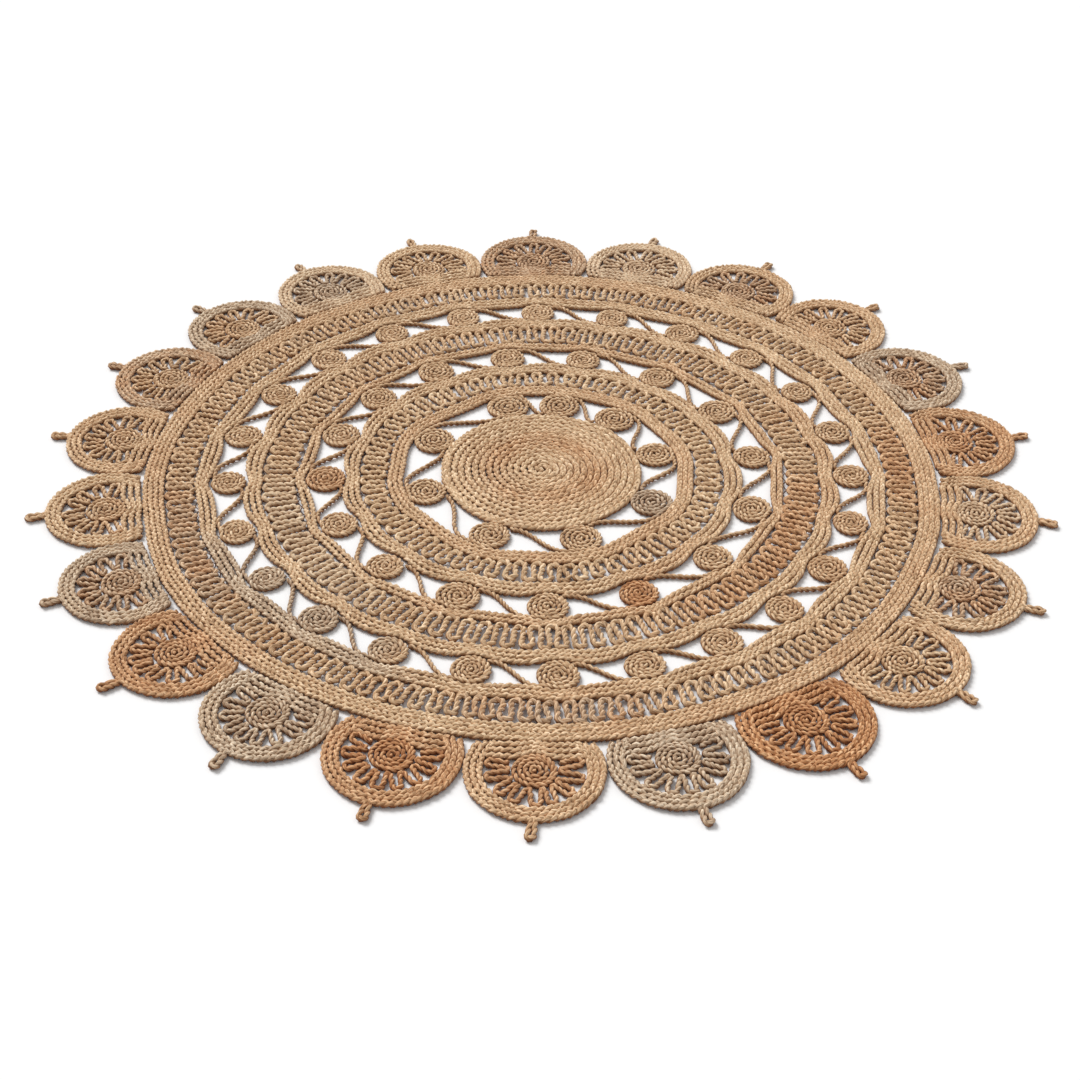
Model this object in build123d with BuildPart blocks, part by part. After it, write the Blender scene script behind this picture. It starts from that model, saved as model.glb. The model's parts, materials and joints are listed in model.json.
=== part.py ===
"""Round openwork jute rug: a coiled medallion, rings of rosettes, looped rings between braided
bands, and a border of petals. Each cord and each row of braid is a solid of its own.

Millimetres. +Z is up. The origin is the middle of the rug on the floor, and bearings are in
degrees clockwise from +Y.
"""

from build123d import *
import os
from math import acos, asin, cos, degrees, radians, sin, sqrt

# ---- cords and braids -----------------------------------------------------------------------
BRAID_PITCH = 7.8  # from one sewn row of braid to the next
BRAID_WIDTH = 7.5
BRAID_HEIGHT = 11.0
BRAID_EDGE = 2.5  # radius of a braid's rounded edges
COIL_HEIGHT = 10.0
COIL_GAP = 0.3  # air between the turns of a coil
LOOP_CORD = 7.4  # twisted cord of the looped rings
LINK_CORD = 6.0  # twisted cord from one rosette to the next
FAN_CORD = 6.0  # twisted cord of a petal's fan
TIP_CORD = 6.0  # twisted cord of a petal's tip loop
TWINE = 1.2  # sewing twine, lying in the grooves of the underside
TWINE_LIFT = 0.65  # height of the twine's centreline
TACK_LENGTH = 12.0  # twine that holds a rosette to the row beside it
SEAM_END = 6.0  # from the rug's round edge to the end of a petal's seam
CLEAR = 0.4  # air between neighbouring parts

# ---- the plan, from the middle outwards -----------------------------------------------------
MEDALLION_RADIUS = 150.0
MEDALLION_TURNS = 15
ROSETTE_TURNS = 4
INNER_ROSETTE = 28.4  # rosette radii
MIDDLE_ROSETTE = 25.6
OUTER_ROSETTE = 24.4
INNER_BAND_ROWS = 3
BAND_ROWS = (3, 2, 3, 3, 4)  # rows of the five round bands
INNER_CORNER_ROUND = 120.0  # the innermost band turns this gently round each rosette
LOOPED_OUTER_EDGE = 271.5  # outer edge of the inner looped ring
MIDDLE_LOOP_WIDTH = 51.7
OUTER_LOOP_WIDTH = 46.2
INNER_WAVES = 64  # out-and-back waves in each looped ring
MIDDLE_WAVES = 104
OUTER_WAVES = 144
INNER_LENGTHS = 16  # each looped ring is spliced from this many lengths of cord
MIDDLE_LENGTHS = 13
OUTER_LENGTHS = 16
SPLICE = 0.3  # air between two lengths

# ---- petals ---------------------------------------------------------------------------------
PETALS = 22
PETAL_CENTRE = 638.0  # from the middle of the rug to the middle of a petal
PETAL_ROWS = 3
PETAL_PITCH = 8.0
BASE_ROWS = 3  # short rows between the outermost band and the petal's rosette
BASE_PITCH = 7.2
PETAL_ROSETTE = 29.6
FAN_WAVES = 10
FAN_SWEEP = 222.0  # angle that the fan covers round its rosette, degrees
TIP_LENGTH = 28.0
TIP_APEX = 63.0  # a tip loop's two legs spread from a point this far below its end
TIP_SPREAD = 9.0  # angle between the two legs, degrees

# The innermost rosettes are set out by eye. The others are evenly spaced, then drift a little
# towards one side, as (count, first bearing, drift, bearing where the drift is greatest).
INNER_BEARINGS = (9, 39, 76, 116, 161, 205, 251, 295, 343)
MIDDLE_RING = (16, 16.4, 4.2, 190)
OUTER_RING = (24, -2.1, 3.2, 69)
PETAL_RING = (PETALS, -0.6, 1.6, 129)


def bearings(count, first, drift, most):
    """Bearings of a ring's pieces."""
    even = [first + 360 / count * k for k in range(count)]
    return [b + drift * cos(radians(b - most)) for b in even]


def at(radius, bearing):
    """The point at a radius from the middle of the rug and a bearing."""
    return (radius * sin(radians(bearing)), radius * cos(radians(bearing)))


def polar(radius, angle):
    """The point at a radius and an angle counter-clockwise from +X."""
    return (radius * cos(radians(angle)), radius * sin(radians(angle)))


# ---- general shapes -------------------------------------------------------------------------
def start_plane(path):
    """A plane across a flat path's start, with local +Y up."""
    heading = path % 0
    return Plane(origin=path @ 0, x_dir=Vector(0, 0, 1).cross(heading), z_dir=heading)


def laid_braid(path, width, height):
    """A braid laid along a flat path, its underside on the floor."""
    with BuildPart() as braid:
        with BuildSketch(start_plane(path)):
            with Locations((0, height / 2)):
                RectangleRounded(width, height, BRAID_EDGE)
        sweep(path=path)
    return braid.part


def laid_cord(path, diameter):
    """A round cord along a flat path."""
    with BuildPart() as cord:
        with BuildSketch(start_plane(path)):
            Circle(diameter / 2)
        sweep(path=path)
    return cord.part


def ring_row(radius, width):
    """One closed row of braid, by its centreline radius."""
    with BuildPart() as row:
        with BuildSketch(Plane.XZ):
            with Locations((radius, BRAID_HEIGHT / 2)):
                RectangleRounded(width, BRAID_HEIGHT, BRAID_EDGE)
        revolve(axis=Axis.Z)
    return row.part


def twine_ring(radius):
    """Sewing twine all the way round the rug."""
    with BuildPart() as ring:
        with BuildSketch(Plane.XZ):
            with Locations((radius, TWINE_LIFT)):
                Circle(TWINE / 2)
        revolve(axis=Axis.Z)
    return ring.part


def coil(radius, turns):
    """A braid wound flat in half circles, which alternate between two centres."""
    pitch = radius / turns
    width = pitch - COIL_GAP
    first = pitch - width / 2
    with BuildLine() as path:
        for half in range(2 * turns - 1):
            centre = (0, 0) if half % 2 == 0 else (pitch / 2, 0)
            CenterArc(centre, first + half * pitch / 2, 180 * (half % 2), 180)
    return laid_braid(path.wires()[0], width, COIL_HEIGHT)


def waves(plane, first, step, legs, near, far, cord, last_turn=True):
    """The path of a cord that runs out and back between two edges.

    Its legs point at the plane's origin and are joined by round turns. near and far give the
    two edges' radii at an angle. The first leg runs outwards, and starts just past a splice.
    """
    half = radians(step / 2)

    def turn_centre(turn):
        angle = first + (turn + 0.5) * step
        if turn % 2 == 0:
            return (far(angle) - CLEAR - cord / 2) / (1 + sin(half))
        return (near(angle) + CLEAR + cord / 2) / (1 - sin(half))

    with BuildLine(plane) as path:
        for leg in range(legs):
            angle = first + leg * step
            begin = turn_centre(leg - 1) * cos(half) + (SPLICE if leg == 0 else 0)
            middle = turn_centre(leg)
            Line(polar(begin, angle), polar(middle * cos(half), angle))
            if leg < legs - 1 or last_turn:
                sweep_angle = 180 + step if leg % 2 == 0 else step - 180
                CenterArc(polar(middle, angle + step / 2), middle * sin(half), angle - 90, sweep_angle)
    return path.wires()[0]


def placed(solids, spots):
    """One group of separate solids, each copied to its own spot."""
    with BuildPart() as group:
        for solid, spot in zip(solids, spots):
            with Locations(spot):
                add(solid, clean=False)
    return group.part


def write(name, part):
    """Labels a finished piece and writes it to its STEP file."""
    part.label = name
    export_step(part, f"parts/{name}.step")


# ---- the innermost band: a rounded polygon with a corner outside each inner rosette ---------
def corner_turns():
    """The angle that the innermost band turns through at each corner."""
    count = len(INNER_BEARINGS)
    spans = [(INNER_BEARINGS[(k + 1) % count] - INNER_BEARINGS[k]) % 360 for k in range(count)]
    return [(spans[k - 1] + spans[k]) / 2 for k in range(count)]


def corner_radius(turn, reach, rounding):
    """Where a corner's point would be, if its rounded nose is at a reach from the middle."""
    return reach + rounding * (1 / cos(radians(turn / 2)) - 1)


def polygon_path(grown, lift=0.0):
    """The innermost band's inner edge, grown outwards by a distance."""
    reach = INNER_BAND_EDGE + grown
    rounding = INNER_CORNER_ROUND + grown
    corners = [
        at(corner_radius(turn, reach, rounding), bearing)
        for turn, bearing in zip(corner_turns(), INNER_BEARINGS)
    ]
    with BuildLine(Plane.XY.offset(lift)) as path:
        FilletPolyline(*corners, radius=rounding, close=True)
    return path.wires()[0]


def polygon_edge(bearing, grown):
    """The radius of the innermost band's inner edge, grown by a distance, at a bearing."""
    reach = INNER_BAND_EDGE + grown
    sides = []
    for k, (turn, after) in enumerate(zip(corner_turns(), INNER_BEARINGS)):
        before = INNER_BEARINGS[k - 1]
        span = radians((after - before) % 360)
        part_way = radians((bearing - before) % 360)
        if part_way <= span:
            one = corner_radius(corner_turns()[k - 1], reach, INNER_CORNER_ROUND + grown)
            two = corner_radius(turn, reach, INNER_CORNER_ROUND + grown)
            sides.append(one * two * sin(span) / (one * sin(part_way) + two * sin(span - part_way)))
    return min(sides + [reach])


# ---- radii of the plan ----------------------------------------------------------------------
INNER_BAND_EDGE = MEDALLION_RADIUS + 2 * INNER_ROSETTE + 2 * CLEAR
INNER_BAND_WIDTH = INNER_BAND_ROWS * BRAID_PITCH


def band_edges():
    """The inner and outer radius of each of the five round bands."""
    openings = (
        2 * MIDDLE_ROSETTE + 2 * CLEAR,
        MIDDLE_LOOP_WIDTH,
        2 * OUTER_ROSETTE + 2 * CLEAR,
        OUTER_LOOP_WIDTH,
        0,
    )
    edges = []
    inner = LOOPED_OUTER_EDGE
    for rows, opening in zip(BAND_ROWS, openings):
        outer = inner + rows * BRAID_PITCH
        edges.append((inner, outer))
        inner = outer + opening
    return edges


BANDS = band_edges()
RUG_EDGE = BANDS[-1][1]  # where the petals begin

# ---- medallion ------------------------------------------------------------------------------
os.makedirs("parts", exist_ok=True)
write("medallion_coil", coil(MEDALLION_RADIUS, MEDALLION_TURNS))

# ---- rings of rosettes and the cords that link them -----------------------------------------
# ring name, rosette radius, radius of the ring's middle, bearings
ROSETTE_RINGS = (
    ("inner", INNER_ROSETTE, MEDALLION_RADIUS + CLEAR + INNER_ROSETTE, INNER_BEARINGS),
    ("middle", MIDDLE_ROSETTE, BANDS[0][1] + CLEAR + MIDDLE_ROSETTE, bearings(*MIDDLE_RING)),
    ("outer", OUTER_ROSETTE, BANDS[2][1] + CLEAR + OUTER_ROSETTE, bearings(*OUTER_RING)),
)


def link_path(near, far, size, before, after):
    """From the outer side of one rosette, across the gap, to the inner side of the next.

    near and far are the radii of the gap's two edges at a bearing, and size is the rosettes'
    radius.
    """
    inset = LINK_CORD / 2 + 2 * CLEAR
    beside = sqrt((size + inset) ** 2 - (size - LINK_CORD / 2) ** 2) + CLEAR
    start = before + degrees(beside / far(before))
    end = after - degrees(beside / near(after))
    run = (end - start) / 4
    points = [
        at(far(start) - inset, start),
        at(far(start + run) - inset, start + run),
        at(near(end - run) + inset, end - run),
        at(near(end) + inset, end),
    ]
    with BuildLine(Plane.XY.offset(LINK_CORD / 2)) as path:
        FilletPolyline(*points, radius=LINK_CORD * 2)
    return path.wires()[0]


def in_place(count):
    """No displacement, once for each of a number of solids that are already in place."""
    return [Location()] * count


tacks = []
for ring, size, middle, spots in ROSETTE_RINGS:
    rosette = coil(size, ROSETTE_TURNS)
    places = [Location((*at(middle, b), 0), (0, 0, 1), -b) for b in spots]
    write(f"{ring}_rosettes", placed([rosette] * len(spots), places))

    def gap_inner(bearing, edge=middle - size - CLEAR):
        return edge

    def gap_outer(bearing, edge=middle + size + CLEAR, polygon=ring == "inner"):
        return polygon_edge(bearing, 0) if polygon else edge

    links = []
    for k, before in enumerate(spots):
        after = spots[(k + 1) % len(spots)]
        after = after + 360 if after < before else after
        links.append(laid_cord(link_path(gap_inner, gap_outer, size, before, after), LINK_CORD))
    write(f"{ring}_link_cords", placed(links, in_place(len(links))))

    # twine that tacks each rosette to the rows inside and outside it
    for edge in (middle - size - CLEAR / 2, middle + size + CLEAR / 2):
        half_turn = degrees(TACK_LENGTH / 2 / edge)
        for bearing in spots:
            with BuildLine(Plane.XY.offset(TWINE_LIFT)) as tack:
                CenterArc((0, 0), edge, 90 - bearing - half_turn, 2 * half_turn)
            tacks.append(laid_cord(tack.wires()[0], TWINE))
write("rosette_tacks", placed(tacks, in_place(len(tacks))))

# ---- braided bands --------------------------------------------------------------------------
rows = [
    laid_braid(polygon_path((row + 0.5) * BRAID_PITCH), BRAID_WIDTH, BRAID_HEIGHT)
    for row in range(INNER_BAND_ROWS)
]
write("braided_band_1", placed(rows, in_place(len(rows))))
for number, ((inner, _), count) in enumerate(zip(BANDS, BAND_ROWS), start=2):
    rows = [ring_row(inner + (row + 0.5) * BRAID_PITCH, BRAID_WIDTH) for row in range(count)]
    write(f"braided_band_{number}", placed(rows, in_place(count)))

# twine in the grooves between the rows
seams = [
    laid_cord(polygon_path(row * BRAID_PITCH, TWINE_LIFT), TWINE) for row in range(1, INNER_BAND_ROWS)
]
for (inner, _), count in zip(BANDS, BAND_ROWS):
    seams += [twine_ring(inner + row * BRAID_PITCH) for row in range(1, count)]
write("band_seam_twine", placed(seams, in_place(len(seams))))

# ---- looped rings ---------------------------------------------------------------------------
def looped_ring(near, far, count, lengths):
    """A looped ring, as a row of spliced cord lengths."""
    step = 180 / count
    legs = 2 * count // lengths
    plane = Plane.XY.offset(LOOP_CORD / 2)
    cords = [
        laid_cord(waves(plane, k * legs * step, step, legs, near, far, LOOP_CORD), LOOP_CORD)
        for k in range(lengths)
    ]
    return placed(cords, in_place(lengths))


def circle_edge(radius):
    """An edge at the same radius all round."""
    return lambda angle: radius


def polygon_rim(angle):
    """The outer edge of the innermost band, at an angle counter-clockwise from +X."""
    return polygon_edge(90 - angle, INNER_BAND_WIDTH)


LOOPED_RINGS = (
    ("inner_looped_ring", polygon_rim, circle_edge(BANDS[0][0]), INNER_WAVES, INNER_LENGTHS),
    (
        "middle_looped_ring",
        circle_edge(BANDS[1][1]),
        circle_edge(BANDS[2][0]),
        MIDDLE_WAVES,
        MIDDLE_LENGTHS,
    ),
    (
        "outer_looped_ring",
        circle_edge(BANDS[3][1]),
        circle_edge(BANDS[4][0]),
        OUTER_WAVES,
        OUTER_LENGTHS,
    ),
)
for name, near, far, count, lengths in LOOPED_RINGS:
    write(name, looped_ring(near, far, count, lengths))

# twine that runs along each side of a looped ring and holds its turns to the band
seams = [laid_cord(polygon_path(INNER_BAND_WIDTH + CLEAR / 2, TWINE_LIFT), TWINE)]
for edge in (BANDS[0][0], BANDS[2][0], BANDS[4][0]):
    seams.append(twine_ring(edge - CLEAR / 2))
for edge in (BANDS[1][1], BANDS[3][1]):
    seams.append(twine_ring(edge + CLEAR / 2))
write("loop_seam_twine", placed(seams, in_place(len(seams))))

# ---- petals ---------------------------------------------------------------------------------
# Each petal is made pointing along +Y and then turned to its bearing.
ROSETTE_SPOT = RUG_EDGE + CLEAR + BASE_ROWS * BASE_PITCH + PETAL_ROSETTE + CLEAR
WHOLE_HEIGHT = (Align.CENTER, Align.CENTER, Align.MIN)


def petal_border(radius, row):
    """One row of a petal's border: a ring round the petal's middle, cut where it meets the rug."""
    with BuildPart() as border:
        with BuildSketch(Plane.XZ.offset(-PETAL_CENTRE)):
            with Locations((radius - (row + 0.5) * PETAL_PITCH, BRAID_HEIGHT / 2)):
                RectangleRounded(PETAL_PITCH - CLEAR, BRAID_HEIGHT, BRAID_EDGE)
        revolve(axis=Axis((0, PETAL_CENTRE, 0), (0, 0, 1)))
        Cylinder(RUG_EDGE + CLEAR, BRAID_HEIGHT, align=WHOLE_HEIGHT, mode=Mode.SUBTRACT)
    return border.part


def base_row(radius, row):
    """One short row between the outermost band and the petal's rosette, as long as the border allows."""
    inside = radius - PETAL_ROWS * PETAL_PITCH - CLEAR
    middle = RUG_EDGE + CLEAR + (row + 0.5) * BASE_PITCH
    width = BASE_PITCH - CLEAR
    low = middle - width / 2
    reach = degrees(acos((low**2 + PETAL_CENTRE**2 - inside**2) / (2 * low * PETAL_CENTRE)))
    with BuildLine() as path:
        CenterArc((0, 0), middle, 90 - reach, 2 * reach)
    return laid_braid(path.wires()[0], width, BRAID_HEIGHT)


def petal_fan(radius):
    """A twisted cord that runs out and back round a petal's rosette, to the border's inner edge."""
    inside = radius - PETAL_ROWS * PETAL_PITCH
    offset = ROSETTE_SPOT - PETAL_CENTRE
    step = FAN_SWEEP / (2 * FAN_WAVES - 1)

    def border_edge(angle):
        tilt = radians(angle - 90)
        return sqrt(inside**2 - (offset * sin(tilt)) ** 2) - offset * cos(tilt)

    path = waves(
        Plane((0, ROSETTE_SPOT, FAN_CORD / 2)),
        90 - FAN_SWEEP / 2,
        step,
        2 * FAN_WAVES,
        circle_edge(PETAL_ROSETTE),
        border_edge,
        FAN_CORD,
        last_turn=False,
    )
    return laid_cord(path, FAN_CORD)


def tip_loop(radius):
    """The small loop of cord at a petal's tip."""
    apex = PETAL_CENTRE + radius + TIP_LENGTH - TIP_APEX
    path = waves(
        Plane((0, apex, TIP_CORD / 2)),
        90 - TIP_SPREAD / 2,
        TIP_SPREAD,
        2,
        circle_edge(TIP_APEX - TIP_LENGTH - TIP_CORD / 2),
        circle_edge(TIP_APEX),
        TIP_CORD,
        last_turn=False,
    )
    return laid_cord(path, TIP_CORD)


def border_seam(radius, row):
    """Twine in the groove under a border, between two of its rows."""
    groove = radius - row * PETAL_PITCH
    drop = degrees(asin((PETAL_CENTRE - RUG_EDGE - SEAM_END) / groove))
    with BuildLine(Plane((0, PETAL_CENTRE, TWINE_LIFT))) as path:
        CenterArc((0, 0), groove, -drop, 180 + 2 * drop)
    return laid_cord(path.wires()[0], TWINE)


petal_bearings = bearings(*PETAL_RING)
parts_of_petals = {"petal_base_rows": [], "petal_fans": [], "petal_tip_loops": [], "petal_seam_twine": []}
turns = {name: [] for name in parts_of_petals}
petal_turns = []
for k, bearing in enumerate(petal_bearings):
    before = petal_bearings[k - 1] - (360 if k == 0 else 0)
    after = petal_bearings[(k + 1) % PETALS] + (360 if k == PETALS - 1 else 0)
    middle_bearing = (before + 2 * bearing + after) / 4
    radius = PETAL_CENTRE * sin(radians((after - before) / 4)) - CLEAR / 2
    turn = Location((0, 0, 0), (0, 0, 1), -middle_bearing)
    petal_turns.append(turn)
    border = [petal_border(radius, row) for row in range(PETAL_ROWS)]
    write(f"petal_border_{k + 1:02d}", placed(border, [turn] * PETAL_ROWS))
    pieces = {
        "petal_base_rows": [base_row(radius, row) for row in range(BASE_ROWS)],
        "petal_fans": [petal_fan(radius)],
        "petal_tip_loops": [tip_loop(radius)],
        "petal_seam_twine": [border_seam(radius, row) for row in range(1, PETAL_ROWS)],
    }
    for name, made in pieces.items():
        parts_of_petals[name] += made
        turns[name] += [turn] * len(made)

for name, made in parts_of_petals.items():
    write(name, placed(made, turns[name]))
with BuildPart() as petal_rosettes:
    for turn in petal_turns:
        with Locations(turn):
            with Locations(Location((0, ROSETTE_SPOT, 0), (0, 0, 1), 90)):
                add(coil(PETAL_ROSETTE, ROSETTE_TURNS), clean=False)
write("petal_rosettes", petal_rosettes.part)
print("ok")
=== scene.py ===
"""Round openwork jute rug, plaited, twisted and coiled from fibre strand by strand.

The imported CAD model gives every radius. Each class below lays one kind of piece: it works out
the routes that the cords follow, and a Geometry Nodes tree lays the strands along them.
Metres, +Z up, the rug's underside on z = 0, and bearings in degrees clockwise from +Y.
"""

import json
import logging
import math
from collections.abc import Callable, Sequence
from dataclasses import dataclass, field
from enum import Enum

import bpy
import numpy as np
from mathutils import Matrix, Vector

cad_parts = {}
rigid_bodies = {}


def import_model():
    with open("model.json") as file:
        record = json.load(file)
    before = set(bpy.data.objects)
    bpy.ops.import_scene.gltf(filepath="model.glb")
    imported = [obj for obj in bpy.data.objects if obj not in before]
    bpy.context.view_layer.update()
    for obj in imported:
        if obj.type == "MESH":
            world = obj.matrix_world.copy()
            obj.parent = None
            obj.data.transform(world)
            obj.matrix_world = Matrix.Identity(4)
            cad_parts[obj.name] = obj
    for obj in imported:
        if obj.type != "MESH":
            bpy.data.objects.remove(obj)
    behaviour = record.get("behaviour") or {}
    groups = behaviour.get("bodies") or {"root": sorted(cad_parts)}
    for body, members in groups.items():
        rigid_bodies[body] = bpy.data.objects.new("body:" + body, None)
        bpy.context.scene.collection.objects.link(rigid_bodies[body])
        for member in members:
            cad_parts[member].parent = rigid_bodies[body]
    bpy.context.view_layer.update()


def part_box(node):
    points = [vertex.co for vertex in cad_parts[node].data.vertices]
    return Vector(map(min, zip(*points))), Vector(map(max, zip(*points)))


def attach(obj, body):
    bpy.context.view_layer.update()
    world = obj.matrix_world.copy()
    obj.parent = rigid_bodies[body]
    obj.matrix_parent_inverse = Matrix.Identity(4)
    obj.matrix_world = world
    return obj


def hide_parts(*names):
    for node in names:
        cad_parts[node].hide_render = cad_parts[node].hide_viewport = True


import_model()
log = logging.getLogger("rug")

MM = 0.001
TAU = 2 * math.pi
Bearing = float
Edge = Callable[[Bearing], float]  # a radius at any bearing
Socket = bpy.types.NodeSocket


# ---- the plan, as the CAD model sets it out --------------------------------------------------
BRAID_PITCH = 7.8 * MM
INNER_BEARINGS = (9, 39, 76, 116, 161, 205, 251, 295, 343)
CORNER_ROUND = 120 * MM
PETALS = 22
PETAL_CENTRE = 638 * MM
PETAL_PITCH = 8.0 * MM
CORD_GAP = 0.4 * MM
INNER_ROSETTE = 28.4 * MM  # radius of an inner rosette
BAND_SKIN = 0.15 * MM  # added to a CAD band's outer radius
LOOP_WAVES = {"inner": 64, "middle": 104, "outer": 144}  # waves of cord in each looped ring


def drifting_bearings(count: int, first: Bearing, drift: float, most: Bearing) -> list[Bearing]:
    """Bearings of a ring's pieces, evenly spaced but for a drift towards one side."""
    even = [first + 360 / count * k for k in range(count)]
    return [b + drift * math.cos(math.radians(b - most)) for b in even]


MIDDLE_BEARINGS = drifting_bearings(16, first=16.4, drift=4.2, most=190)
OUTER_BEARINGS = drifting_bearings(24, first=-2.1, drift=3.2, most=69)
PETAL_BEARINGS = drifting_bearings(PETALS, first=-0.6, drift=1.6, most=129)


def half_width(node: str) -> float:
    """Half of a CAD node's width along X, which is a round node's outer radius."""
    low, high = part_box(node)
    return (high[0] - low[0]) / 2


def at(radius: float, bearing: Bearing) -> np.ndarray:
    """The point on the floor at a radius and a bearing."""
    turn = math.radians(bearing)
    return np.array([radius * math.sin(turn), radius * math.cos(turn)])


# ---- tones of the fibre ---------------------------------------------------------------------
class Tone(Enum):
    """Natural tones of a bundle of jute, as (rust, grey, pale) shares."""

    STRAW = (0.05, 0.1, 0.3)
    GOLD = (0.32, 0.0, 0.25)
    ORANGE = (0.6, 0.0, 0.1)
    RUST = (0.95, 0.0, 0.0)
    TAN = (0.25, 0.25, 0.1)
    BROWN = (0.55, 0.5, 0.0)
    GREY = (0.0, 0.75, 0.2)
    PALE = (0.0, 0.35, 0.85)
    ASH = (0.1, 1.0, 0.0)


PETAL_TONES = (
    (Tone.BROWN, Tone.BROWN), (Tone.PALE, Tone.PALE), (Tone.BROWN, Tone.TAN), (Tone.GOLD, Tone.GOLD),
    (Tone.BROWN, Tone.GREY), (Tone.ORANGE, Tone.ORANGE), (Tone.PALE, Tone.GOLD), (Tone.BROWN, Tone.TAN),
    (Tone.STRAW, Tone.GOLD), (Tone.RUST, Tone.RUST), (Tone.GREY, Tone.GREY), (Tone.ORANGE, Tone.GOLD),
    (Tone.RUST, Tone.ORANGE), (Tone.GREY, Tone.GREY), (Tone.ORANGE, Tone.ORANGE), (Tone.BROWN, Tone.GREY),
    (Tone.TAN, Tone.STRAW), (Tone.TAN, Tone.GOLD), (Tone.TAN, Tone.BROWN), (Tone.TAN, Tone.GREY),
    (Tone.GREY, Tone.PALE), (Tone.STRAW, Tone.STRAW),
)  # (fan, border) of each petal


@dataclass(frozen=True)
class ToneRing:
    """How a ring's tone changes with bearing: a base tone with some stretches of others."""

    base: Tone
    stretches: tuple[tuple[Bearing, Bearing, Tone], ...] = ()
    soft: float = 7.0  # degrees over which one tone runs into the next

    def shares(self, bearing: Bearing) -> np.ndarray:
        """The (rust, grey, pale) shares at a bearing."""
        shares = np.array(self.base.value)
        for start, end, tone in self.stretches:
            middle, half = (start + end) / 2, (end - start) / 2
            away = abs((bearing - middle + 180) % 360 - 180) - half
            weight = 1 / (1 + math.exp(min(max(away / self.soft * 4, -30), 30)))
            shares = shares + (np.array(tone.value) - shares) * weight
        return shares


# ---- routes ---------------------------------------------------------------------------------
@dataclass
class Route:
    """The line that one cord or braid follows, with the tone of its fibre at each point."""

    points: np.ndarray
    shares: np.ndarray
    closed: bool = False


def route(flat: np.ndarray, height: float, tones: ToneRing, closed: bool = False) -> Route:
    """A level route, toned by the bearing of each point.

    Args:
        flat: the points on the floor.
        height: the height of the cord's middle.
        tones: the ring's tones.
        closed: whether the last point joins the first.

    Returns:
        The route.
    """
    points = np.column_stack([flat, np.full(len(flat), height)])
    bearings = np.degrees(np.arctan2(flat[:, 0], flat[:, 1]))
    return Route(points, np.array([tones.shares(b) for b in bearings]), closed)


def arc(centre: Sequence[float], radius: float, start: float, sweep: float, step: float) -> np.ndarray:
    """Points along an arc. Angles are in radians, counter-clockwise from +X."""
    count = max(3, int(abs(sweep) * radius / step) + 1)
    angles = start + np.linspace(0, sweep, count)
    return np.column_stack([centre[0] + radius * np.cos(angles), centre[1] + radius * np.sin(angles)])


@dataclass
class Peg:
    """A round peg that a cord bends about: +1 leaves the peg on the cord's left, -1 on its right."""

    centre: np.ndarray
    radius: float
    side: int


def weave(pegs: Sequence[Peg], step: float) -> np.ndarray:
    """The path of a cord pulled round a row of pegs, from the middle of the first to the last.

    Args:
        pegs: the pegs in order.
        step: the spacing of the points along each bend.

    Returns:
        The points, straight between the pegs and round at each of them.
    """
    leaves, meets = [], []
    for one, two in zip(pegs, pegs[1:]):
        across = two.centre - one.centre
        length = float(np.hypot(*across))
        shift = two.side * two.radius - one.side * one.radius
        heading = math.atan2(across[1], across[0]) - math.asin(max(-0.99, min(0.99, shift / length)))
        left = np.array([-math.sin(heading), math.cos(heading)])
        leaves.append(one.centre - one.side * one.radius * left)
        meets.append(two.centre - two.side * two.radius * left)
    pieces = [leaves[0][None, :]]
    for peg, arrive, leave in zip(pegs[1:-1], meets, leaves[1:]):
        start = math.atan2(*(arrive - peg.centre)[::-1])
        end = math.atan2(*(leave - peg.centre)[::-1])
        sweep = (end - start) * peg.side % TAU * peg.side
        pieces.append(arc(peg.centre, peg.radius, start, sweep, step))
    pieces.append(meets[-1][None, :])
    return np.vstack(pieces)


def rounded(points: np.ndarray, passes: int = 3) -> np.ndarray:
    """A path with its corners cut round, both ends kept."""
    for _ in range(passes):
        quarter = points[:-1] * 0.75 + points[1:] * 0.25
        three = points[:-1] * 0.25 + points[1:] * 0.75
        middle = np.empty((2 * len(quarter), points.shape[1]))
        middle[0::2], middle[1::2] = quarter, three
        points = np.vstack([points[:1], middle[1:-1], points[-1:]])
    return points


# ---- how strands are laid up into a braid or a cord ------------------------------------------
@dataclass(frozen=True)
class Lay:
    """The make-up of a braid or a twisted cord."""

    strands: int
    strand_radius: float
    spread: float  # sideways swing of a strand
    lift: float  # up and down swing of a strand
    pitch: float  # length in which a strand comes back to its place
    crossings: int  # rises of a strand in one pitch: 2 in a plait, 1 in a twist
    sides: int = 6
    steps: int = 9  # cross-sections in one pitch

    @property
    def middle(self) -> float:
        """Height of the middle when the cord lies on the floor."""
        return self.lift + self.strand_radius


BRAID = Lay(3, 2.65 * MM, 2.0 * MM, 2.5 * MM, 29 * MM, 2, steps=9)
COIL_BRAID = Lay(3, 3.0 * MM, 2.6 * MM, 2.1 * MM, 33 * MM, 2, steps=11)
LOOP_TWIST = Lay(2, 2.75 * MM, 1.85 * MM, 2.3 * MM, 19 * MM, 1, steps=8)
FAN_TWIST = Lay(2, 2.5 * MM, 1.55 * MM, 2.1 * MM, 18 * MM, 1, steps=7)
ROSETTE_TWIST = Lay(2, 2.25 * MM, 1.6 * MM, 2.3 * MM, 17 * MM, 1, steps=7)
LINK_TWIST = Lay(2, 2.2 * MM, 1.4 * MM, 2.2 * MM, 18 * MM, 1, steps=8)
HAND_DRIFT = 9 * MM  # how far the whole plan strays from its drawing
LAY_WANDER = 5.0  # radians by which a cord's lay runs ahead and behind
WOBBLE = (3.2 * MM, 3.2 * MM, 1.6 * MM)  # how far a cord strays on each axis over a few centimetres

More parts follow.
